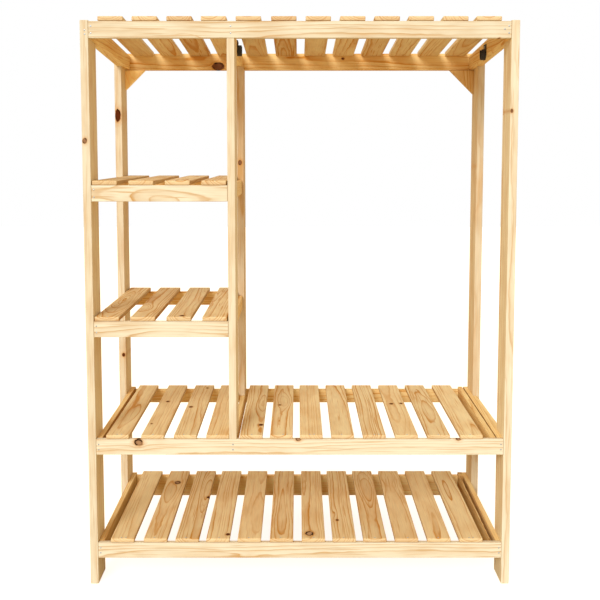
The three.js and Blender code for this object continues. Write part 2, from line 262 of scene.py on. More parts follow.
def planed_pine(name, tint, depth):
    """Pine, sawn from fast-grown stems and machine-planed, left bare.

    The eye sees pale early wood with thin orange late-wood lines that run straight on a board cut
    across the rings and close to long arches on one cut along them, fine fibres, round knots with a
    bark rim that the lines bend round, and a dull satin surface without any coat.
    tint multiplies the wood's colour, depth the strength of its lines.
    """
    material, tree = new_material(name)
    node = functools.partial(add, tree)
    grain, figure, swell = (node("Attribute", attribute_name=key).outputs["Vector"]
                            for key in ("grain", "figure", "swell"))
    ends, bark_and_shade, painted_shade, painted_bounce, tone = (node("Attribute", attribute_name=key).outputs["Fac"]
                                     for key in ("end_grain", "bark_and_shade", "painted_shade", "painted_bounce", "knot_tone"))
    place = node("SeparateXYZ", [grain]).outputs
    contrast, warmth, lightness = node("SeparateXYZ", [figure]).outputs
    swell_along, swell_across, swell_height = node("SeparateXYZ", [swell]).outputs
    noise = {}
    for key, (lengthwise, crosswise, detail) in PINE_NOISES.items():
        scaled = node("VectorMath", [grain, (lengthwise, crosswise, crosswise)], operation="MULTIPLY")
        noise[key] = node("TexNoise", {"Vector": scaled, "Scale": 1.0, "Detail": detail})

    # Knots: distance from the nearest branch, and how far it pushes the lines aside.
    across, nearest = place[1], FAR_OFF
    for number in KNOTS:
        knot = node("Attribute", attribute_name=f"knot_{number}").outputs["Vector"]
        knot_along, knot_across, radius = node("SeparateXYZ", [knot]).outputs
        reach = node("VectorMath", [node("CombineXYZ", [knot_along, knot_across])], operation="LENGTH")
        square = node("Math", [reach, 2.0], operation="POWER")
        square = node("Math", [square, 1.0], operation="MAXIMUM")
        push = node("Math", [knot_across, square], operation="DIVIDE")
        push = node("Math", [push, radius], operation="MULTIPLY")
        across = node("Math", [push, -KNOT_PUSH, across], operation="MULTIPLY_ADD")
        nearest = node("Math", [nearest, reach], operation="MINIMUM")
    ragged = node("Math", [noise["ragged"], *KNOT_RAGGED], operation="MULTIPLY_ADD")
    nearest = node("Math", [nearest, ragged], operation="MULTIPLY")

    # Growth rings: distance from the pith, bent by the stem's waves, and raised at a swelling of the
    # stem, which a flat cut turns into nested ovals.
    narrowed = node("Math", [swell_along, SWELL_TAPER, 1.0], operation="MULTIPLY_ADD")
    narrowed = node("Math", [narrowed, swell_across], operation="MULTIPLY")
    away = node("VectorMath", [node("CombineXYZ", [swell_along, narrowed])], operation="LENGTH")
    fall = node("Math", [node("Math", [away, 2.0], operation="POWER"), -1.0], operation="MULTIPLY")
    bulge = node("Math", [node("Math", [fall], operation="EXPONENT"), swell_height], operation="MULTIPLY")
    bent = node("VectorMath", [node("CombineXYZ", [0.0, across, place[2]])], operation="LENGTH")
    bent = node("Math", [noise["slow"], SLOW_WAVE, bent], operation="MULTIPLY_ADD")
    bent = node("Math", [noise["quick"], QUICK_WAVE, bent], operation="MULTIPLY_ADD")
    bent = node("Math", [bent, bulge], operation="SUBTRACT")
    years = node("TexNoise", {"W": bent, "Scale": YEARS_PER_METRE, "Detail": 0.0}, noise_dimensions="1D")
    even = node("Math", [bent, 1 / sizes().ring_width], operation="MULTIPLY")
    rings = node("Math", [years, YEARS_SWING, even], operation="MULTIPLY_ADD")
    lot = node("TexWhiteNoise", {"W": node("Math", [rings], operation="FLOOR")}, noise_dimensions="1D")
    strength = node("Math", [lot, *RING_STRENGTH], operation="MULTIPLY_ADD")
    profile = node("ValToRGB", [node("Math", [rings], operation="FRACT")])
    profile.color_ramp.interpolation = "EASE"
    set_ramp(profile.color_ramp, RING_STOPS)
    late = node("Math", [profile, strength], operation="MULTIPLY")
    late = node("Math", [late, node("MapRange", [noise["fading"], *LINES_LEFT])], operation="MULTIPLY")
    late = node("Math", [late, contrast], operation="MULTIPLY")
    deeper = node("MapRange", [ends, 0.0, 1.0, depth, END_LINES * depth])
    late = node("Math", [late, deeper], operation="MULTIPLY", use_clamp=True)

    # Wood: heartwood patches, lines, fibres and the board's own colour.
    early_colour, late_colour = colours().early_wood[:], colours().late_wood[:]
    stained = node("MapRange", [noise["stain"], *HEART_PATCHES])
    stained = node("Math", [stained, warmth], operation="ADD", use_clamp=True)
    heart = blend(HEART_SHARE, early_colour, late_colour)
    wood = node("Mix", {0: stained, "A": early_colour, "B": heart}, data_type="RGBA")
    canal = node("MapRange", [noise["canal"], *CANAL_LINES])
    canal = node("Math", [canal, contrast], operation="MULTIPLY")
    lines = node("Math", [late, canal], operation="MAXIMUM")
    wood = node("Mix", {0: lines, "A": wood, "B": late_colour}, data_type="RGBA")
    shade = node("MapRange", [noise["fibre"], *FIBRE_SHADES])
    shade = node("Math", [shade, lightness], operation="MULTIPLY")
    wood = node("VectorMath", {0: wood, "Scale": shade}, operation="SCALE")
    wood = node("VectorMath", [wood, tint], operation="MULTIPLY")
    # Painted light: warm bounced light on the posts' side faces, then painted shade in seams, gaps and
    # under things.
    for part, colour in ((painted_bounce, PAINTED_BOUNCE_TINT), (painted_shade, PAINTED_SHADE_TINT)):
        shaded = node("VectorMath", [wood, colour], operation="MULTIPLY")
        wood = node("Mix", {0: part, "A": wood, "B": shaded}, data_type="RGBA")
    paler = node("Math", [ends, END_PALENESS], operation="MULTIPLY")
    wood = node("Mix", {0: paler, "A": wood, "B": early_colour}, data_type="RGBA")

    # Knots from the middle out: a core with its own rings, a broken rim of black bark, a halo.
    core, rim = colours().knot_core[:], colours().knot_rim[:]
    pale_core = blend(PALE_KNOT_SHARE, core, blend(0.5, late_colour, early_colour))
    heart_of_knot = node("Mix", {0: tone, "A": pale_core, "B": core}, data_type="RGBA")
    from_middle = node("Math", [nearest, KNOT_SCALE], operation="MULTIPLY")
    knot_rings = node("ValToRGB", [from_middle])
    set_ramp(knot_rings.color_ramp, KNOT_RINGS)
    broken = node("MapRange", [noise["broken"], *BARK_LEFT])
    barked = node("Math", [knot_rings, broken], operation="MULTIPLY")
    darkened = node("Math", [tone, DARK_KNOT_BARK], operation="MULTIPLY")
    barked = node("Math", [barked, darkened], operation="MAXIMUM")
    heart_of_knot = node("Mix", {0: barked, "A": heart_of_knot, "B": rim}, data_type="RGBA")
    outside = node("MapRange", [from_middle, *KNOT_EDGE])
    halo = node("Mix", {0: outside, "A": heart_of_knot, "B": late_colour}, data_type="RGBA")
    cover = node("ValToRGB", [from_middle])
    set_ramp(cover.color_ramp, KNOT_COVER)
    wood = node("Mix", {0: cover, "A": wood, "B": halo}, data_type="RGBA")
    # Bark, which on the wane also stands for painted shade in the groove beside the outer board.
    bark_and_shade_colour = blend(BAST_SHARE, rim, late_colour)
    wood = node("Mix", {0: bark_and_shade, "A": wood, "B": bark_and_shade_colour}, data_type="RGBA")

    satin = node("MapRange", [late, *SATIN])
    rough = node("Math", [noise["fibre"], FIBRE_ROUGHNESS, satin], operation="MULTIPLY_ADD")
    height = node("Math", [late, LINE_HEIGHT, noise["fibre"]], operation="MULTIPLY_ADD")
    bump = node("Bump", {"Strength": RELIEF_STRENGTH, "Distance": RELIEF_DEPTH, "Height": height})
    shader = add_surface(tree, {"Base Color": wood, "Roughness": rough, "Normal": bump, "IOR": WOOD_IOR,
                                "Specular IOR Level": GLOSS})
    # Knots are duller. Where this link is lost, as in the exported model, the boards keep their gloss.
    gloss = node("MapRange", [cover, 0.0, 1.0, GLOSS, KNOT_GLOSS])
    tree.links.new(gloss.outputs[0], shader.inputs["Specular IOR Level"])
    return material


PLASTIC_GRAIN = 2500.0         # per metre: 0.4 mm, coarser than the real 0.1 mm so that it shows
PLASTIC_FLOW = 90.0            # paler patches 11 mm long
SCUFFED = (0.4, 0.75, 0.0, 0.5)
SCUFF_PALENESS = (2.2, 0.01)   # the colour times the first plus the second
PLASTIC_ROUGHNESS = (0.38, 0.6)
PLASTIC_RELIEF = (0.3, 0.05 * MM)
PLASTIC_IOR = 1.49


def moulded_plastic():
    """Black polypropylene, injection-moulded in a spark-eroded tool: a fine even texture that
    spreads the highlights, with a slight sheen and no depth."""
    material, tree = new_material("moulded black plastic")
    place = add(tree, "TexCoord").outputs["Object"]
    grains = add(tree, "TexNoise", {"Vector": place, "Scale": PLASTIC_GRAIN, "Detail": 1.0})
    flow = add(tree, "TexNoise", {"Vector": place, "Scale": PLASTIC_FLOW, "Detail": 1.0})
    black = colours().socket_black[:]
    worn = [min(1.0, SCUFF_PALENESS[0] * c + SCUFF_PALENESS[1]) for c in black[:3]] + [1.0]
    scuffs = add(tree, "MapRange", [flow, *SCUFFED])
    mix = add(tree, "Mix", {0: scuffs, "A": black, "B": worn}, data_type="RGBA")
    rough = add(tree, "MapRange", [grains, 0.0, 1.0, *PLASTIC_ROUGHNESS])
    strength, distance = PLASTIC_RELIEF
    bump = add(tree, "Bump", {"Strength": strength, "Distance": distance, "Height": grains})
    add_surface(tree, {"Base Color": mix, "Roughness": rough, "Normal": bump, "IOR": PLASTIC_IOR})
    return material


ZINC_BLOTCHES = 650.0          # per metre: 1.5 mm
ZINC_DULLNESS = 0.72
ZINC_ROUGHNESS = (0.5, 0.32)   # of dull and of bright blotches
ZINC_RELIEF = (0.2, 0.05 * MM)
ZINC_METALLIC = 0.75           # less than 1: the plating has a thin dull skin


def zinc_plated_steel():
    """Drawn steel wire with a thin zinc plating: pale blue-grey, softly reflecting, slightly blotched."""
    material, tree = new_material("zinc plated steel")
    place = add(tree, "TexCoord").outputs["Object"]
    blotches = add(tree, "TexNoise", {"Vector": place, "Scale": ZINC_BLOTCHES, "Detail": 2.0})
    bright = colours().steel[:]
    dull = darker(bright, ZINC_DULLNESS)
    mix = add(tree, "Mix", {0: blotches, "A": dull, "B": bright}, data_type="RGBA")
    rough = add(tree, "MapRange", [blotches, 0.0, 1.0, *ZINC_ROUGHNESS])
    strength, distance = ZINC_RELIEF
    bump = add(tree, "Bump", {"Strength": strength, "Distance": distance, "Height": blotches})
    add_surface(tree, {"Base Color": mix, "Roughness": rough, "Normal": bump, "Metallic": ZINC_METALLIC})
    return material


# The pine slots' tints are painted light: pale outside in the key light, redder inside as painted shade.
FINISHES = {
    "post_wood": lambda: planed_pine("bare planed pine outside", (0.96, 1.09, 1.26), 0.95),
    "slat_wood": lambda: planed_pine("bare planed pine slats", (0.99, 0.975, 0.83), 1.5),
    "inner_wood": lambda: planed_pine("bare planed pine inside", (1.1, 1.04, 0.76), 1.4),
    "black_plastic": moulded_plastic,
    "screw_steel": zinc_plated_steel,
}
made_finishes = {}


def finish_of(slot):
    if slot not in made_finishes:
        made_finishes[slot] = FINISHES[slot]()
    return made_finishes[slot]


def add_piece(name, bm, slot, nodes=(), smooth=False):
    """Turns a bmesh into a finished piece that rides on the frame."""
    bmesh.ops.recalc_face_normals(bm, faces=bm.faces[:])
    for face in bm.faces:
        face.smooth = smooth
    mesh = bpy.data.meshes.new(name)
    bm.to_mesh(mesh)
    bm.free()
    piece = bpy.data.objects.new(name, mesh)
    bpy.context.collection.objects.link(piece)
    mesh.materials.append(finish_of(slot))
    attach(piece, "root")
    for node in nodes:
        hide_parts(node)
    return piece


# Boards

# How a board was cut from its stem, where the photograph shows it. Sizes in millimetres, measured
# along the board and across its seen face.
# pith: how far the stem's middle lies from the board's middle, to the low side across the board and to
# the high side through it. tilt: how far the board leaves the stem's direction per metre.
# contrast, warmth and lightness: of the wood, on some boards also painted light and shade.
# knots: (along, across, radius, stretch along the grain), placed from the frame's origin.
# tone: 0 for pale knots, 1 for dark ones.
# swell: (along, across, reach along, reach across, height) of a swelling, placed so too. Its ovals
# narrow towards the high end, or towards the low end where the reach along is negative.
FIGURES = {
    "post_front_left": {"pith": (26, 34), "tilt": 4, "contrast": 0.7, "warmth": 0.1, "lightness": 0.98,
                        "knots": [(1266, -592, 5.5)], "tone": 0.4, "swell": (1235, -593, 90, 9, 8)},
    "post_front_right": {"pith": (-20, 44), "tilt": 6, "contrast": 1.1, "warmth": 0.0, "lightness": 1.02,
                         "knots": [(1348, 582, 3.5)]},
    "post_back_left": {"warmth": 0.25, "knots": [(1354, -590, 8.5, 2.2), (564, -584.5, 4.5)], "tone": 1.0},
    # The back-right post's warmth is partly painted shade.
    "post_back_right": {"warmth": 0.45, "knots": [(1189, 570, 5)]},
    "divider_post_front": {"pith": (30, 50), "tilt": 4, "contrast": 0.4, "warmth": 0.15},
    # The divider's back post's warmth is partly painted shade.
    "divider_post_back": {"warmth": 0.5, "contrast": 1.2, "knots": [(1201, -194, 6)]},
    "top_rail_front": {"pith": (30, 38), "tilt": 4, "contrast": 1.1, "warmth": 0.0,
                       "knots": [(544, 1543, 3)], "tone": 0.3, "swell": (-305, 1545, 22, 9, 9)},
    "top_rail_back": {"pith": (-12, 40), "tilt": 10, "contrast": 1.2, "warmth": 0.35, "lightness": 1.0,
                      "knots": [(-270, 1519, 13, 1.4), (144, 1544, 3.5)], "tone": 0.75},
    "upper_rail_front": {"pith": (4, 70), "tilt": 6, "contrast": 1.3, "warmth": 0.0,
                         "swell": (-384, 1097, 90, 34, 24)},
    "middle_rail_front": {"pith": (26, 42), "tilt": 6, "contrast": 1.1, "warmth": 0.0,
                          "swell": (-330, 722, 90, 10, 12)},
    "lower_rail_front": {"pith": (28, 38), "tilt": 8, "contrast": 1.0, "warmth": -0.25,
                         "knots": [(-457, 416, 9), (-4, 426, 5.5), (450, 428, 6)], "tone": 0.25},
    "bottom_rail_front": {"pith": (26, 38), "tilt": 10, "contrast": 1.2, "warmth": 0.0,
                          "swell": (-340, 90, 130, 10, 14)},
    "top_slat_3": {"pith": (0, 24), "contrast": 2.2, "warmth": 0.6, "lightness": 0.92},
    "top_slat_6": {"pith": (8, 18), "contrast": 2.4, "warmth": 0.5, "lightness": 0.93},
    "top_slat_9": {"pith": (-6, 30), "contrast": 1.8, "warmth": 0.3, "lightness": 0.96},
    # The bottom back rail's and the gussets' warmth and lightness are partly painted light and shade.
    "bottom_rail_back": {"contrast": 0.5, "warmth": 0.2, "lightness": 1.1},
    "gusset_left": {"contrast": 0.5, "warmth": 0.0, "lightness": 1.3},
    "gusset_right": {"warmth": 0.5, "lightness": 0.9},
    "lower_slat_1": {"pith": (10, 42), "tilt": 10, "contrast": 0.8, "swell": (-43, -499, 110, 18, 13)},
    "lower_slat_2": {"pith": (24, 50), "tilt": 8, "contrast": 0.5, "lightness": 1.04, "tone": 1.0,
                     "knots": [(71, -423, 5), (-167, -437, 3)]},
    "lower_slat_3": {"pith": (-30, 30), "tilt": 12, "contrast": 0.8, "tone": 1.0,
                     "knots": [(9, -342, 5.5), (236, -313, 4)]},
    "lower_slat_4": {"pith": (40, 30), "tilt": 14, "contrast": 0.7, "lightness": 1.05},
    "lower_slat_5": {"pith": (-26, 40), "tilt": 6, "contrast": 1.3, "knots": [(-178, -114, 6)], "tone": 1.0,
                     "swell": (40, -118, 110, 26, 15)},
    "lower_slat_6": {"pith": (6, 34), "tilt": 8, "contrast": 1.2, "knots": [(31, -63, 4.5)],
                     "swell": (70, -44, -70, 20, 12)},
    "lower_slat_7": {"pith": (-60, 30), "tilt": 5, "contrast": 0.6, "lightness": 1.05},
    "lower_slat_8": {"pith": (6, 46), "tilt": -20, "contrast": 1.2, "warmth": 0.1,
                     "swell": (170, 98, 120, 18, 13)},
    "lower_slat_9": {"pith": (50, 16), "tilt": 10, "contrast": 1.5, "lightness": 0.98},
    "lower_slat_10": {"pith": (14, 54), "tilt": 14, "contrast": 0.6, "lightness": 1.03, "tone": 1.0,
                      "knots": [(44, 292, 5.5), (48, 323, 5)]},
    "lower_slat_11": {"pith": (4, 60), "tilt": -10, "contrast": 1.3, "warmth": 0.1,
                      "swell": (-30, 402, 130, 28, 12)},
    "lower_slat_12": {"pith": (-20, 40), "tilt": -10, "contrast": 0.9, "warmth": 0.05, "lightness": 1.04},
    "bottom_slat_1": {"pith": (-24, 50), "tilt": 8, "contrast": 0.8, "lightness": 1.03,
                      "swell": (120, -497, -190, 18, 8)},
    "bottom_slat_2": {"pith": (10, 60), "tilt": 6, "contrast": 0.9, "lightness": 1.03, "tone": 0.25,
                      "knots": [(163, -408, 9.5)], "swell": (60, -420, -90, 26, 10)},
    "bottom_slat_3": {"pith": (-22, 38), "tilt": 8, "contrast": 1.3, "knots": [(35, -291, 6)], "tone": 1.0,
                      "swell": (110, -300, -140, 20, 24)},
    "bottom_slat_4": {"pith": (48, 30), "tilt": 5, "contrast": 0.9, "lightness": 1.03, "tone": 0.9,
                      "knots": [(-246, -208, 5.5)]},
    "bottom_slat_5": {"pith": (-16, 60), "tilt": 10, "contrast": 0.5, "lightness": 1.05},
    "bottom_slat_6": {"pith": (0, 60), "tilt": 4, "contrast": 1.3, "swell": (-62, -55, 170, 15, 13)},
    "bottom_slat_7": {"pith": (26, 34), "tilt": 4, "contrast": 1.0, "knots": [(-240, 28, 11)], "tone": 0.1},
    "bottom_slat_8": {"pith": (44, 24), "tilt": 6, "contrast": 1.2, "knots": [(-144, 113, 4)], "tone": 0.8,
                      "swell": (-96, 111, 46, 8, 6)},
    "bottom_slat_9": {"pith": (0, 64), "tilt": 3, "contrast": 1.5, "swell": (96, 222, -120, 24, 22)},
    "bottom_slat_10": {"pith": (10, 50), "tilt": -20, "contrast": 1.0, "swell": (230, 297, 60, 26, 12)},
    "bottom_slat_11": {"pith": (8, 44), "tilt": -6, "contrast": 0.7, "swell": (-156, 409, 120, 13, 9)},
    "bottom_slat_12": {"pith": (0, 50), "tilt": -12, "contrast": 0.8, "swell": (130, 480, -180, 18, 14)},
    "middle_slat_1": {"pith": (2, 56), "tilt": 8, "contrast": 1.7, "swell": (24, -548, 150, 24, 44)},
    "middle_slat_2": {"pith": (20, 40), "tilt": 18, "contrast": 1.3, "swell": (-120, -460, 60, 30, 20)},
    "middle_slat_3": {"pith": (-30, 30), "tilt": 12, "contrast": 1.0, "tone": 1.0,
                      "knots": [(-255, -332, 6)]},
    "middle_slat_4": {"pith": (30, 30), "tilt": 18, "contrast": 1.6, "lightness": 1.02},
}

# The ranges of the lots that give a board's figure where the table doesn't.
PITH_ASIDE = (0, 45)           # mm from the board's middle, across it
PITH_DEPTH = (22, 50)          # and through it
LARGEST_DRIFT = 12             # mm that a board leaves the stem's direction over its length
ALONG_THE_STEM = (0, 30)       # metres, so that no two boards are alike
USUAL_CONTRAST = (0.6, 1.1)
USUAL_WARMTH = (0.0, 0.25)
USUAL_LIGHTNESS = (0.96, 1.04)
USUAL_TONE = 0.6
# A board's axes: along, across its seen face and through it.
ALONG_X = (WIDTH_AXIS, HEIGHT_AXIS, DEPTH_AXIS)      # front and back rails
ALONG_Y = (DEPTH_AXIS, HEIGHT_AXIS, WIDTH_AXIS)      # battens, side rails and cross rails
ALONG_Z = (HEIGHT_AXIS, WIDTH_AXIS, DEPTH_AXIS)      # posts
SLAT = (DEPTH_AXIS, WIDTH_AXIS, HEIGHT_AXIS)         # slats, which lie flat
FACES_THAT_WAY = 0.8           # least part of a face's normal along an axis
# Distances from a board's surface in radii of its arris: on the face, on the arris, to its far edge.
ON_FACE, ON_ARRIS, TO_ARRIS_EDGE = 0.1, 0.9, 1.05
BESIDE_A_GAP = ("lower_batten_left", "lower_batten_right")     # narrow; their side on the gap gets painted shade
SHADED_BELOW = ("lower_batten", "bottom_batten")             # painted shade over their lower half
# Shares of painted shade on the slats' sides and at the top edge of their ends' lower arrises.
SLAT_SIDE_PAINTED_SHADE = 0.45
SLAT_END_PAINTED_SHADE = 0.4


def painted_shade_at(name, axes, off, size, above):
    """Share of painted shade at a point of a board, from its place off the board's middle, the board's
    size along its axes and the point's height above its underside."""
    from_end, from_side, from_face = (extent / 2 - abs(off[axis]) for extent, axis in zip(size, axes))
    if axes == SLAT:
        arris = sizes().slat_arris
        if from_end < ON_ARRIS * arris and above < TO_ARRIS_EDGE * arris:
            return 1.0 if above < ON_ARRIS * arris else SLAT_END_PAINTED_SHADE
        if from_side < ON_FACE * arris and not name.startswith("top"):
            return SLAT_SIDE_PAINTED_SHADE
        return 0.0
    arris = sizes().board_arris
    at_end = axes in (ALONG_X, ALONG_Y) and from_end < ON_ARRIS * arris
    in_gap = name in BESIDE_A_GAP and from_face < ON_FACE * arris
    below = axes == ALONG_Y and name.startswith(SHADED_BELOW) and off.z < 0
    return 1.0 if at_end or in_gap or below else 0.0


def paint_board(bm, name, middle, axes):
    """Stores where each point lies in the stem, so that the rings run through the whole board."""
    along, across, through = axes
    rng = random.Random(name)
    figure = FIGURES.get(name, {})
    extents = ([vert.co[axis] for vert in bm.verts] for axis in axes)
    size = [max(extent) - min(extent) for extent in extents]
    underside = min(vert.co.z for vert in bm.verts)
    pith = figure.get("pith", (rng.choice((-1, 1)) * rng.uniform(*PITH_ASIDE), rng.uniform(*PITH_DEPTH)))
    tilt = figure.get("tilt", rng.uniform(-1, 1) * LARGEST_DRIFT / size[0])
    start = rng.uniform(*ALONG_THE_STEM)
    contrast = figure.get("contrast", rng.uniform(*USUAL_CONTRAST))
    warmth = figure.get("warmth", rng.uniform(*USUAL_WARMTH))
    lightness = figure.get("lightness", rng.uniform(*USUAL_LIGHTNESS))
    vectors, numbers, face_numbers = (bm.verts.layers.float_vector, bm.verts.layers.float,
                                      bm.faces.layers.float)
    grain_layer, figure_layer, swell_layer = (vectors.new(key) for key in ("grain", "figure", "swell"))
    knot_layers = [vectors.new(f"knot_{number}") for number in KNOTS]
    tone_layer, painted_shade_layer = (numbers.new(key) for key in ("knot_tone", "painted_shade"))
    end_layer, painted_bounce_layer = (face_numbers.new(key) for key in ("end_grain", "painted_bounce"))
    for vert in bm.verts:
        off = vert.co - middle
        run = off[along]
        vert[grain_layer] = (run + start, off[across] + pith[0] * MM,
                             off[through] - pith[1] * MM + run * tilt * MM)
        vert[figure_layer] = (contrast, warmth, lightness)
        vert[tone_layer] = figure.get("tone", USUAL_TONE)
        # Painted shade in seams, gaps, under things and on slat sides.
        vert[painted_shade_layer] = painted_shade_at(name, axes, off, size, vert.co.z - underside)
        vert[swell_layer] = (FAR_OFF, FAR_OFF, 0.0)
        if "swell" in figure:
            place, side, reach, side_reach, height = (v * MM for v in figure["swell"])
            vert[swell_layer] = ((vert.co[along] - place) / reach,
                                 (vert.co[across] - side) / side_reach, height)
        for layer in knot_layers:
            vert[layer] = (FAR_OFF, FAR_OFF, 0.0)
        for layer, knot in zip(knot_layers, figure.get("knots", [])):
            place, side, radius = (v * MM for v in knot[:3])
            stretch = knot[3] if len(knot) > 3 else KNOT_STRETCH
            vert[layer] = ((vert.co[along] - place) / (stretch * radius),
                           (vert.co[across] - side) / radius, radius)
    bm.normal_update()
    for face in bm.faces:
        face[end_layer] = float(abs(face.normal[along]) > FACES_THAT_WAY)
        # Painted warm bounced light on the posts' side faces.
        face[painted_bounce_layer] = float(axes == ALONG_Z and abs(face.normal[across]) > FACES_THAT_WAY)


def block(low, high):
    """A plain block between two corners."""
    bm = bmesh.new()
    bmesh.ops.create_cube(bm, size=1.0)
    bmesh.ops.scale(bm, vec=high - low, verts=bm.verts)
    bmesh.ops.translate(bm, vec=(low + high) / 2, verts=bm.verts)
    return bm


def ease_edges(bm, edges, radius, segments=3):
    bmesh.ops.bevel(bm, geom=edges, offset=radius, offset_type="OFFSET", affect="EDGES",
                    segments=segments, profile=0.5, material=-1)


def draw_out(bm, face, way):
    """Extrudes a face and moves the new one."""
    grown = bmesh.ops.extrude_face_region(bm, geom=[face])["geom"]
    bmesh.ops.translate(bm, vec=way, verts=[part for part in grown if isinstance(part, bmesh.types.BMVert)])


def spin_outline(bm, outline, steps):
    """Spins an outline of radii and heights all round the upright axis."""
    verts = [bm.verts.new((radius, 0.0, height)) for radius, height in outline]
    edges = [bm.edges.new(pair) for pair in zip(verts, verts[1:])]
    bmesh.ops.spin(bm, geom=verts + edges, cent=(0, 0, 0), axis=(0, 0, 1), dvec=(0, 0, 0),
                   angle=2 * math.pi, steps=steps, use_merge=True, use_duplicate=False)


def add_board(name, low, high, axes, slot, node, arris=None, slope=0.0, top_slope=0.0, lean=0.0, turn=None):
    """A sawn board between two corners, in the place of a node. slope shears it down towards the
    back, top_slope cuts only its top so, lean shears it to the left, and turn puts it in place."""
    bm = block(low, high)
    for vert in bm.verts:
        if slope or (top_slope and vert.co.z > (low.z + high.z) / 2):
            vert.co.z -= (slope or top_slope) * (vert.co.y - low.y)
        vert.co.x -= lean * (vert.co.y - low.y) / (high.y - low.y)
    ease_edges(bm, bm.edges[:], arris or sizes().board_arris)
    paint_board(bm, name, (low + high) / 2, axes)
    if turn:
        bmesh.ops.transform(bm, matrix=turn, verts=bm.verts)
    return add_piece(name + "_board", bm, slot, [node])


def slot_of(node):
    return next(row["material_slot"] for row in frame["record"]["subparts"] if row["node"] == node)


def dress(node, axes, sloped=False, cut_top=False):
    """A detailed board in the place of a node of the frame."""
    low, high = cad(node)
    if sloped:
        low.z += DECK_FALL * (high.y - low.y)
    return add_board(node, low, high, axes, slot_of(node), node,
                     slope=DECK_FALL if sloped else 0.0, top_slope=DECK_FALL if cut_top else 0.0)


# The end battens of the full-width shelves rise this much to the back.
BATTEN_RISE = cad("lower_batten_left")[1].z - cad("lower_rail_front")[1].z


def add_end_batten(node, low, high):
    flat_high = high - Vector((0, 0, BATTEN_RISE))
    return add_board(node, low, flat_high, ALONG_Y, "inner_wood", node,
                     top_slope=-BATTEN_RISE / (high.y - low.y))


# The wane is the round edge of the tree, left where the board was sawn from the outside of the stem.
WANE_DEPTH = 35 * MM
WANE_RIDGE = 3 * MM            # width of the flat top beside it
WANE_BENDS = (1.0, 2.2, 3.6)   # where its section bends, in widths of that ridge
WANE_ROUNDNESS = 0.75          # power of the section's curve
WANE_CUTS = 23                 # places along it where it may wander
WANE_WANDER = 0.12             # share of its depth
RIDGE_WANDER = 1.2 * MM
RIDGE_PART = 0.4               # share of the section that wanders sideways
WANE_BACK_MARGIN = 35 * MM     # of full section at the back end
WANE_RUN_OUT = 30 * MM
# Painted warm shade over the wane, in the groove beside the outer board.
WANE_PAINTED_SHADE = 0.6
BARK_AND_SHADE_WIDTH = 4 * MM            # of the strip at the foot of the wane where the bark is left, also the groove's painted shade
BARK_AND_SHADE_AT_FRONT = 0.1            # most of the bark has come off there, and less shade is painted
ABOVE_THE_FOOT = 10 * MM       # the board's lower edge is sawn


def add_waney_batten(name, low, high, node):
    """The inner board of the bottom shelf's right batten: its outer top arris is the tree's own
    round edge, which wanders as the bark did."""
    rng = random.Random(name)
    bm = block(low, high)
    middle = (low + high) / 2
    lengthwise = [edge for edge in bm.edges if abs(edge.verts[0].co.y - edge.verts[1].co.y) > MM]
    bmesh.ops.subdivide_edges(bm, edges=lengthwise, cuts=WANE_CUTS)
    for bend in WANE_BENDS:
        bmesh.ops.bisect_plane(bm, geom=bm.verts[:] + bm.edges[:] + bm.faces[:],
                               plane_co=(low.x + bend * WANE_RIDGE, 0, 0), plane_no=(1, 0, 0))
    wander = {}
    for vert in bm.verts:
        if vert.co.z > middle.z:
            away = high.y - vert.co.y
            key = round(vert.co.y, 4)
            wander.setdefault(key, rng.uniform(-1, 1))
            part = max(0.0, (vert.co.x - low.x - WANE_RIDGE) / (high.x - low.x - WANE_RIDGE))
            fade = min(1.0, max(0.0, (away - WANE_BACK_MARGIN) / WANE_RUN_OUT))
            vert.co.z -= BATTEN_RISE * away / (high.y - low.y)
            vert.co.z -= fade * WANE_DEPTH * part ** WANE_ROUNDNESS * (1 + WANE_WANDER * wander[key])
            if 0 < part < RIDGE_PART:
                vert.co.x += fade * RIDGE_WANDER * wander[key]
    paint_board(bm, name, middle, ALONG_Y)
    # The wane's foot is dark in its back half, as bark and as painted shade of the groove; painted warm
    # shade lies over all the wane.
    bark_and_shade_layer, painted_shade_layer = bm.verts.layers.float.new("bark_and_shade"), bm.verts.layers.float["painted_shade"]
    for vert in bm.verts:
        off_the_ridge = vert.co.x > low.x + MM and vert.co.z > low.z + ABOVE_THE_FOOT
        if off_the_ridge and vert.co.y < high.y - WANE_BACK_MARGIN:
            deep = vert.co.x > high.x - BARK_AND_SHADE_WIDTH and vert.co.y > middle.y
            vert[bark_and_shade_layer] = 1.0 if deep else BARK_AND_SHADE_AT_FRONT
            vert[painted_shade_layer] = WANE_PAINTED_SHADE
    return add_piece(name + "_board", bm, "inner_wood", [node])


# Slats

DECK_SLAT_WIDTH = 69 * MM
DECK_SLAT_THICKNESS = 13 * MM
DECK_CLEARANCE = 0.3 * MM      # between the deck and the boards that carry it
BOTTOM_SLAT_WIDTH = 67 * MM
BOTTOM_SLAT_THICKNESS = 12 * MM
SLAT_LEANS = {"lower_slat_4": 4 * MM}      # how far a slat's back end lies to the left of its front end


def slat_middles(first, last, shifts):
    """Middles of a row of slats, where each is shifted by a share of the pitch."""
    pitch = (last - first) / (len(shifts) - 1)
    return [first + pitch * (i + shift) for i, shift in enumerate(shifts)]


DECK_SLATS = slat_middles(-517 * MM, 516 * MM,
                          (0, -0.01, 0, 0, 0.01, 0.04, 0.04, 0.04, 0.04, 0.03, 0.03, 0))
BOTTOM_SLATS = slat_middles(-507.5 * MM, 490 * MM,
                            (0, 0.04, 0.04, 0.01, 0, 0.02, 0.03, 0, -0.03, -0.03, -0.01, 0))


def deck_turn():
    """Places a slat that is built flat from the origin onto the sloping top boards."""
    start = Vector((0, FRONT, TOP_RAIL_HIGH.z + DECK_CLEARANCE))
    return Matrix.Translation(start) @ Matrix.Rotation(-DECK_ANGLE, 4, "X")


# Nails

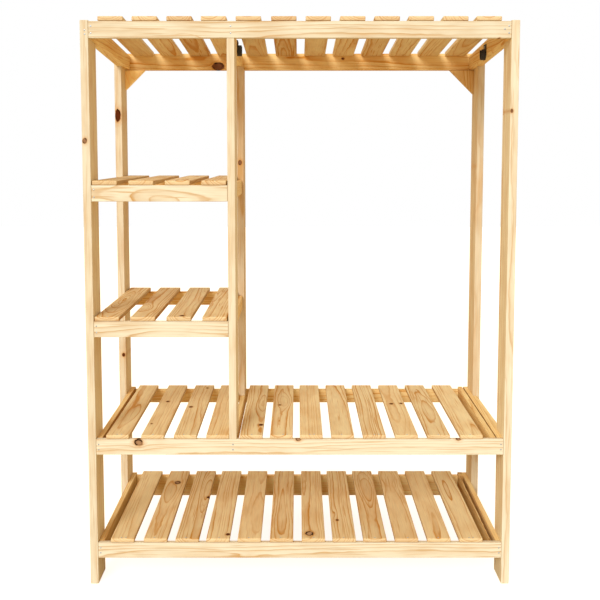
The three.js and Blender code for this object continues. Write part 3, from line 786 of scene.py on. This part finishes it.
NAIL_DOME = ((0.0, 1.0), (0.6, 0.86), (1.0, 0.2))      # shares of a head's radius and of its rise
NAIL_SIDES = 10
NAIL_DEPTH = 0.8 * MM          # how far a head is sunk
NAIL_INSET = 7.5 * MM          # from a slat's end
NAIL_WANDER = 5                # mm to either side of a slat's middle
NAIL_SEED = 7
SECOND_NAIL_CHANCE = 0.2
SECOND_NAIL_STEP = Vector((12 * MM, 1 * MM, 0))
# For each front rail: how far the nails of a pair lie from its middle, and what the pairs hold.
RAIL_NAILS = {
    "top": (9.5 * MM, ("top_batten_left", "top_cross_rail", "top_batten_right")),
    "upper": (10.5 * MM, ("upper_batten_left",)),
    "middle": (9 * MM, ("middle_batten_left",)),
    "lower": (7.5 * MM, ("lower_batten_left", "lower_batten_divider", "lower_batten_right")),
    "bottom": (7.5 * MM, ("bottom_batten_left", "bottom_batten_right")),
}
# One more nail near the right end of the top rail, and two in the left post beside that rail.
EXTRA_NAIL_FROM_END = 19 * MM
EXTRA_NAIL_FROM_TOP = 22 * MM
POST_NAIL_ASIDE = 2 * MM
POST_NAIL_HEIGHTS = (11 * MM, 22 * MM)
MERGE_DISTANCE = 0.005 * MM
UP, OUT_FRONT, OUT_BACK = Vector((0, 0, 1)), Vector((0, -1, 0)), Vector((0, 1, 0))


def add_nail(bm, point, normal):
    """A round head with a low dome, driven almost flush."""
    radius = sizes().nail_head / 2
    others = set(bm.verts)
    outline = [(across * radius, up * sizes().nail_rise) for across, up in NAIL_DOME]
    spin_outline(bm, outline + [(radius, -NAIL_DEPTH), (0.0, -NAIL_DEPTH)], NAIL_SIDES)
    place = Matrix.Translation(point) @ normal.to_track_quat("Z", "Y").to_matrix().to_4x4()
    bmesh.ops.transform(bm, matrix=place, verts=[vert for vert in bm.verts if vert not in others])


def add_nails(name, places):
    bm = bmesh.new()
    for point, normal in places:
        add_nail(bm, point, normal)
    bmesh.ops.remove_doubles(bm, verts=bm.verts, dist=MERGE_DISTANCE)
    return add_piece(name, bm, "screw_steel", smooth=True)


def nail_shelf_slats(rng):
    """One nail at each end of each flat slat, and now and then a second one."""
    rows = {}
    for row in frame["record"]["subparts"]:
        if "_slat_" in row["node"]:
            low, high = cad(row["node"])
            rows.setdefault(row["node"].split("_")[0], []).append(((low.x + high.x) / 2, high.z))
    rows["bottom"] = [(middle, cad("bottom_deck")[1].z) for middle in BOTTOM_SLATS]
    for shelf, slats in rows.items():
        places = []
        for middle, height in slats:
            for y in (FRONT + NAIL_INSET, BACK - NAIL_INSET):
                place = Vector((middle + rng.uniform(-NAIL_WANDER, NAIL_WANDER) * MM, y, height))
                places.append((place, UP))
                if rng.random() < SECOND_NAIL_CHANCE:
                    places.append((place + SECOND_NAIL_STEP, UP))
        add_nails(f"{shelf}_slat_nails", places)


def nail_deck(rng):
    """One nail down through each slat's front end, and one through the back rail into its back end."""
    turn = deck_turn()
    places = []
    for middle in DECK_SLATS:
        x = middle + rng.uniform(-NAIL_WANDER, NAIL_WANDER) * MM
        places.append((turn @ Vector((x, NAIL_INSET, DECK_SLAT_THICKNESS)), turn.to_3x3() @ UP))
        height = top_plane(BACK) + DECK_RAIL_RISE / 2
        places.append((Vector((middle, BACK - sizes().nail_rise, height)), OUT_BACK))
    add_nails("top_slat_nails", places)


def nail_front():
    """Pairs through the front rails into what runs back from them."""
    for shelf, (spread, held) in RAIL_NAILS.items():
        low, high = cad(f"{shelf}_rail_front")
        level = (low.z + high.z) / 2
        places = []
        for node in held:
            start, end = cad(node)
            x = (start.x + end.x) / 2
            if node == "bottom_batten_right":
                x = end.x - BOARD_THICKNESS / 2
            if node == "top_cross_rail":
                x = end.x
            places += [(Vector((x, low.y, z)), OUT_FRONT) for z in (level - spread, level + spread)]
        if shelf == "top":
            place = Vector((high.x - EXTRA_NAIL_FROM_END, low.y, high.z - EXTRA_NAIL_FROM_TOP))
            places.append((place, OUT_FRONT))
        add_nails(f"{shelf}_rail_nails", places)
    low, high = cad("post_front_left")
    x = (low.x + high.x) / 2 + POST_NAIL_ASIDE
    add_nails("post_nails", [(Vector((x, low.y, TOP_RAIL_LOW.z + height)), OUT_FRONT)
                             for height in POST_NAIL_HEIGHTS])


# Operators

class WARDROBE_OT_posts(bpy.types.Operator):
    """Corner posts and divider posts, set edge-on to the front"""
    bl_idname = "wardrobe.posts"
    bl_label = "Posts"

    def execute(self, context):
        for node in ("post_front_left", "post_front_right"):
            dress(node, ALONG_Z)
        for node in ("post_back_left", "post_back_right", "divider_post_front", "divider_post_back"):
            dress(node, ALONG_Z, cut_top=True)
        return {"FINISHED"}


class WARDROBE_OT_rails(bpy.types.Operator):
    """Front and back rails of the top frame and the shelves"""
    bl_idname = "wardrobe.rails"
    bl_label = "Rails"

    def execute(self, context):
        for node in ("upper_rail_front", "upper_rail_back", "middle_rail_front", "middle_rail_back",
                     "lower_rail_front", "lower_rail_back", "bottom_rail_front"):
            dress(node, ALONG_X)
        dress("top_rail_front", ALONG_X, sloped=True)
        edge = top_plane(BACK - BOARD_THICKNESS)
        high = Vector((TOP_RAIL_HIGH.x, BACK, edge + DECK_RAIL_RISE))
        low = Vector((TOP_RAIL_LOW.x, BACK - BOARD_THICKNESS, edge - TOP_BOARD_HEIGHT))
        add_board("top_rail_back", low, high, ALONG_X, "inner_wood", "top_deck", slope=DECK_FALL)
        high = Vector((TOP_RAIL_HIGH.x - 2 * BOARD_THICKNESS, BACK, cad("bottom_rail_front")[1].z))
        low = Vector((TOP_RAIL_LOW.x + BOARD_THICKNESS, BACK - BOARD_THICKNESS, cad("bottom_deck")[0].z))
        add_board("bottom_rail_back", low, high, ALONG_X, "inner_wood", "bottom_deck")
        return {"FINISHED"}


class WARDROBE_OT_battens(bpy.types.Operator):
    """Battens, side rails and the divider's cross rails, which run from front to back"""
    bl_idname = "wardrobe.battens"
    bl_label = "Battens and cross rails"

    def execute(self, context):
        end_battens = ("lower_batten_left", "lower_batten_right", "lower_batten_right_inner",
                       "bottom_batten_left")
        for node in end_battens:
            add_end_batten(node, *cad(node))
        doubled = "bottom_batten_right"
        low, high = cad(doubled)
        joint = (low.x + high.x) / 2
        add_end_batten(doubled, Vector((joint, low.y, low.z)), high)
        add_waney_batten("bottom_batten_right_inner", low, Vector((joint, high.y, high.z)), doubled)
        for row in frame["record"]["subparts"]:
            node = row["node"]
            if node in end_battens or node == doubled:
                continue
            if any(word in node for word in ("_batten_", "_side_rail_", "_cross_rail")):
                dress(node, ALONG_Y, sloped=node.startswith("top_"))
        return {"FINISHED"}


GUSSET_ARRIS = 0.8 * MM


class WARDROBE_OT_gussets(bpy.types.Operator):
    """Triangular gussets in the back corners"""
    bl_idname = "wardrobe.gussets"
    bl_label = "Gussets"

    def execute(self, context):
        for node in ("gusset_left", "gusset_right"):
            low, high = cad(node)
            corner_x, far_x = (low.x, high.x) if node == "gusset_left" else (high.x, low.x)
            bm = bmesh.new()
            outline = [(corner_x, low.y, high.z), (far_x, low.y, high.z), (corner_x, low.y, low.z)]
            face = bm.faces.new([bm.verts.new(point) for point in outline])
            draw_out(bm, face, (0, high.y - low.y, 0))
            ease_edges(bm, bm.edges[:], GUSSET_ARRIS, 2)
            paint_board(bm, node, (low + high) / 2, ALONG_Z)
            add_piece(node + "_board", bm, slot_of(node), [node])
        return {"FINISHED"}


class WARDROBE_OT_slats(bpy.types.Operator):
    """Slats of the deck and the four shelves"""
    bl_idname = "wardrobe.slats"
    bl_label = "Slats"

    def execute(self, context):
        arris = sizes().slat_arris
        length = (BACK - BOARD_THICKNESS - FRONT) / math.cos(DECK_ANGLE)
        for number, middle in enumerate(DECK_SLATS, 1):
            low = Vector((middle - DECK_SLAT_WIDTH / 2, 0, 0))
            high = Vector((middle + DECK_SLAT_WIDTH / 2, length, DECK_SLAT_THICKNESS))
            add_board(f"top_slat_{number}", low, high, SLAT, "slat_wood", "top_deck", arris,
                      turn=deck_turn())
        top = cad("bottom_deck")[1].z
        for number, middle in enumerate(BOTTOM_SLATS, 1):
            low = Vector((middle - BOTTOM_SLAT_WIDTH / 2, FRONT, top - BOTTOM_SLAT_THICKNESS))
            high = Vector((middle + BOTTOM_SLAT_WIDTH / 2, BACK, top))
            add_board(f"bottom_slat_{number}", low, high, SLAT, "slat_wood", "bottom_deck", arris)
        for row in frame["record"]["subparts"]:
            node = row["node"]
            if "_slat_" in node:
                low, high = cad(node)
                lean = SLAT_LEANS.get(node, 0.0)
                low.x += lean
                add_board(node, low, high, SLAT, "slat_wood", node, arris, lean=lean)
        return {"FINISHED"}


class WARDROBE_OT_nails(bpy.types.Operator):
    """Nails through the slats' ends and through the front rails"""
    bl_idname = "wardrobe.nails"
    bl_label = "Nails"

    def execute(self, context):
        rng = random.Random(NAIL_SEED)
        nail_shelf_slats(rng)
        nail_deck(rng)
        nail_front()
        return {"FINISHED"}


PLATE_THICKNESS = 2.5 * MM
PLATE_CORNER = 4 * MM
PLATE_CORNER_STEPS = 6
CUP_WALL = 3 * MM
CUP_HEIGHT = 31 * MM
CUP_STEPS = 20                 # over its half circle
MOULDED_EDGE = 0.6 * MM
SHARP_ANGLE = math.radians(50)


def socket_place(node):
    """Width of a socket, its height, how far it stands out, and the turn from flat to its wall."""
    low, high = cad(node)
    towards_right = node.endswith("left")
    face = Vector((1, 0, 0)) if towards_right else Vector((-1, 0, 0))
    turn = Matrix((UP.cross(face), UP, face)).transposed().to_4x4()
    wall = low.x if towards_right else high.x
    turn.translation = (wall, (low.y + high.y) / 2, low.z)
    return high.y - low.y, high.z - low.z, high.x - low.x, turn


def arc(centre_x, centre_y, radius, start, sweep, steps):
    """Points of an arc, its ends included."""
    angles = [start + sweep * i / steps for i in range(steps + 1)]
    return [(centre_x + radius * math.cos(angle), centre_y + radius * math.sin(angle)) for angle in angles]


class WARDROBE_OT_sockets(bpy.types.Operator):
    """Rod sockets: a screw plate with rounded corners and a cup that is open at the top"""
    bl_idname = "wardrobe.sockets"
    bl_label = "Rod sockets"

    def execute(self, context):
        for node in ("rod_socket_left", "rod_socket_right"):
            width, height, reach, turn = socket_place(node)
            radius = width / 2
            bm = bmesh.new()
            # Cup: its wall's section, spun half round below and drawn up on both sides.
            section = [(-radius, radius, 0), (CUP_WALL - radius, radius, 0),
                       (CUP_WALL - radius, radius, reach), (-radius, radius, reach)]
            face = bm.faces.new([bm.verts.new(point) for point in section])
            spun = bmesh.ops.spin(bm, geom=[face], cent=(0, radius, 0), axis=(0, 0, 1), dvec=(0, 0, 0),
                                  angle=math.pi, steps=CUP_STEPS, use_merge=False, use_duplicate=False)
            last = next(part for part in spun["geom_last"] if isinstance(part, bmesh.types.BMFace))
            for end in (face, last):
                draw_out(bm, end, (0, CUP_HEIGHT - radius, 0))
            bmesh.ops.delete(bm, geom=[face, last], context="FACES_ONLY")
            # Plate: a disc at the foot and two rounded corners at the head, under one outline.
            outline = arc(0, radius, radius, math.pi, math.pi, CUP_STEPS)
            for centre_x, start in ((radius - PLATE_CORNER, 0.0), (PLATE_CORNER - radius, math.pi / 2)):
                outline += arc(centre_x, height - PLATE_CORNER, PLATE_CORNER, start, math.pi / 2,
                               PLATE_CORNER_STEPS)
            plate = bm.faces.new([bm.verts.new((x, y, 0)) for x, y in outline])
            draw_out(bm, plate, (0, 0, PLATE_THICKNESS))
            bm.normal_update()
            sharp = [edge for edge in bm.edges
                     if edge.is_manifold and edge.calc_face_angle(0) > SHARP_ANGLE]
            ease_edges(bm, sharp, MOULDED_EDGE, 2)
            bmesh.ops.transform(bm, matrix=turn, verts=bm.verts)
            add_piece(node + "_moulding", bm, "black_plastic", [node])
        return {"FINISHED"}


SCREW_HEAD_RADIUS = 3.6 * MM
SCREW_HEAD_RISE = 1.6 * MM
SCREW_DOME = ((0.0, 0.8), (0.35, 1.0), (0.8, 0.7), (1.0, 0.0), (0.0, 0.0))     # shares of those two
SCREW_SIDES = 32
SCREW_MERGE_DISTANCE = 0.001 * MM
RECESS_DEPTH = 0.5             # share of the head's rise
RECESS_ABOVE = 0.75            # only the crown above this share of the rise sinks
RECESS_HALF_WIDTH = 0.13       # of a quarter turn


class WARDROBE_OT_socket_screws(bpy.types.Operator):
    """Pan-head screws with a cross recess, one through each socket's plate"""
    bl_idname = "wardrobe.socket_screws"
    bl_label = "Socket screws"

    def execute(self, context):
        for side in ("left", "right"):
            node = f"socket_screw_{side}"
            low, high = cad(node)
            _, socket_height, _, turn = socket_place(f"rod_socket_{side}")
            foot = high.x - low.x - SCREW_HEAD_RISE
            bm = bmesh.new()
            outline = [(across * SCREW_HEAD_RADIUS, foot + up * SCREW_HEAD_RISE)
                       for across, up in SCREW_DOME]
            spin_outline(bm, outline, SCREW_SIDES)
            bmesh.ops.remove_doubles(bm, verts=bm.verts, dist=SCREW_MERGE_DISTANCE)
            # Cross recess: the crown's middle sinks, and a slot at each quarter turn.
            for vert in bm.verts:
                quarters = math.atan2(vert.co.y, vert.co.x) / (math.pi / 2)
                in_slot = abs(quarters - round(quarters)) < RECESS_HALF_WIDTH
                if in_slot and vert.co.z > foot + RECESS_ABOVE * SCREW_HEAD_RISE:
                    vert.co.z -= RECESS_DEPTH * SCREW_HEAD_RISE
            turn.translation = turn @ Vector((0, (CUP_HEIGHT + socket_height) / 2, 0))
            bmesh.ops.transform(bm, matrix=turn, verts=bm.verts)
            add_piece(f"socket_screw_{side}_head", bm, "screw_steel", [node], smooth=True)
        return {"FINISHED"}


CAMERA_PLACE = Vector((-5.2 * MM, -2764.4 * MM, 1236.3 * MM))
CAMERA_PITCH = 0.0861          # radians below level
CAMERA_SENSOR = 36.0           # millimetres
CAMERA_LENS = 54.02
CAMERA_SHIFT = (0.0034, -0.1175)
SIGHT = 50.0                   # metres
KEY_DIRECTION = Vector((0.35, 1.0, -0.55))
KEY_STRENGTH = 2.0
KEY_SPREAD = math.radians(24)
SKY_STRENGTH = 0.69
SKY_COLOUR = "#FFE9CB"         # warm, as the light on the wood is
FLOOR_SIZE = 24.0              # metres
FLOOR_LIFT = 0.84
PAPER_MOTTLE = 9.0             # patches per metre
PAPER_SHADE = 0.98
PAPER_ROUGHNESS = 0.95
PAPER_GLOSS = 0.1
WHITE = (1.0, 1.0, 1.0, 1.0)


class WARDROBE_OT_stage(bpy.types.Operator):
    """Pale floor, surroundings that the camera sees white, soft light and the camera"""
    bl_idname = "wardrobe.stage"
    bl_label = "Stage"

    def execute(self, context):
        scene = bpy.context.scene
        bm = bmesh.new()
        bmesh.ops.create_grid(bm, x_segments=1, y_segments=1, size=FLOOR_SIZE / 2)
        mesh = bpy.data.meshes.new("studio_floor")
        bm.to_mesh(mesh)
        bm.free()
        floor = bpy.data.objects.new("studio_floor", mesh)
        bpy.context.collection.objects.link(floor)
        # Matt cream studio paper, which sends warm light up into the frame. Seen from the camera it is
        # lifted to the background's white, so only the shadow shows.
        material, tree = new_material("studio paper")
        place = add(tree, "TexCoord").outputs["Object"]
        mottle = add(tree, "TexNoise", {"Vector": place, "Scale": PAPER_MOTTLE})
        cream = colours().floor[:]
        paper = add(tree, "Mix", {0: mottle, "A": cream, "B": darker(cream, PAPER_SHADE)}, data_type="RGBA")
        path = add(tree, "LightPath")
        lift = add(tree, "Math", [path.outputs["Is Camera Ray"], FLOOR_LIFT], operation="MULTIPLY")
        add_surface(tree, {"Base Color": paper, "Roughness": PAPER_ROUGHNESS,
                           "Specular IOR Level": PAPER_GLOSS,
                           "Emission Strength": lift, "Emission Color": WHITE})
        mesh.materials.append(material)

        world = bpy.data.worlds.new("white surroundings")
        scene.world = world
        world.use_nodes = True
        tree = world.node_tree
        tree.nodes.clear()
        path = add(tree, "LightPath").outputs
        seen = add(tree, "Math", [path["Is Camera Ray"], path["Is Glossy Ray"]], operation="MAXIMUM")
        seen = add(tree, "Math", [seen, path["Is Transmission Ray"]], operation="MAXIMUM")
        level = add(tree, "MapRange", {0: seen, 3: SKY_STRENGTH, 4: 1.0})
        tint = add(tree, "Mix", {0: seen, "A": hex_colour(SKY_COLOUR), "B": WHITE}, data_type="RGBA")
        add(tree, "OutputWorld", {"Surface": add(tree, "Background", {"Color": tint, "Strength": level})})

        key = bpy.data.lights.new("key", "SUN")
        key.energy = KEY_STRENGTH
        key.angle = KEY_SPREAD
        lamp = bpy.data.objects.new("key", key)
        lamp.rotation_euler = KEY_DIRECTION.to_track_quat("-Z", "Y").to_euler()
        bpy.context.collection.objects.link(lamp)

        lens = bpy.data.cameras.new("camera")
        lens.lens = CAMERA_LENS
        lens.sensor_width = CAMERA_SENSOR
        lens.sensor_fit = "HORIZONTAL"
        lens.shift_x, lens.shift_y = CAMERA_SHIFT
        lens.clip_end = SIGHT
        camera = bpy.data.objects.new("camera", lens)
        camera.location = CAMERA_PLACE
        camera.rotation_euler = (math.pi / 2 - CAMERA_PITCH, 0, 0)
        bpy.context.collection.objects.link(camera)
        scene.camera = camera
        scene.view_settings.view_transform = "Standard"
        return {"FINISHED"}


OPERATORS = (WARDROBE_OT_posts, WARDROBE_OT_rails, WARDROBE_OT_battens, WARDROBE_OT_gussets,
             WARDROBE_OT_slats, WARDROBE_OT_nails, WARDROBE_OT_sockets, WARDROBE_OT_socket_screws,
             WARDROBE_OT_stage)


class WARDROBE_PT_build(bpy.types.Panel):
    """Lists the steps that build the wardrobe"""
    bl_idname = "WARDROBE_PT_build"
    bl_label = "Open frame wardrobe"
    bl_space_type = "VIEW_3D"
    bl_region_type = "UI"
    bl_category = "Wardrobe"

    def draw(self, context):
        layout = self.layout
        for group in (context.scene.wardrobe_sizes, context.scene.wardrobe_colours):
            for key in group.bl_rna.properties.keys():
                if key not in ("rna_type", "name"):
                    layout.prop(group, key)
        for operator in OPERATORS:
            layout.operator(operator.bl_idname)


CLASSES = (WardrobeSizes, WardrobeColours) + OPERATORS + (WARDROBE_PT_build,)


def register():
    for cls in CLASSES:
        bpy.utils.register_class(cls)
    bpy.types.Scene.wardrobe_sizes = PointerProperty(type=WardrobeSizes)
    bpy.types.Scene.wardrobe_colours = PointerProperty(type=WardrobeColours)


def unregister():
    del bpy.types.Scene.wardrobe_colours
    del bpy.types.Scene.wardrobe_sizes
    for cls in reversed(CLASSES):
        bpy.utils.unregister_class(cls)


def main():
    register()
    bpy.ops.wardrobe.posts()
    bpy.ops.wardrobe.rails()
    bpy.ops.wardrobe.battens()
    bpy.ops.wardrobe.gussets()
    bpy.ops.wardrobe.slats()
    bpy.ops.wardrobe.nails()
    bpy.ops.wardrobe.sockets()
    bpy.ops.wardrobe.socket_screws()
    bpy.ops.wardrobe.stage()


if __name__ == "__main__":
    main()
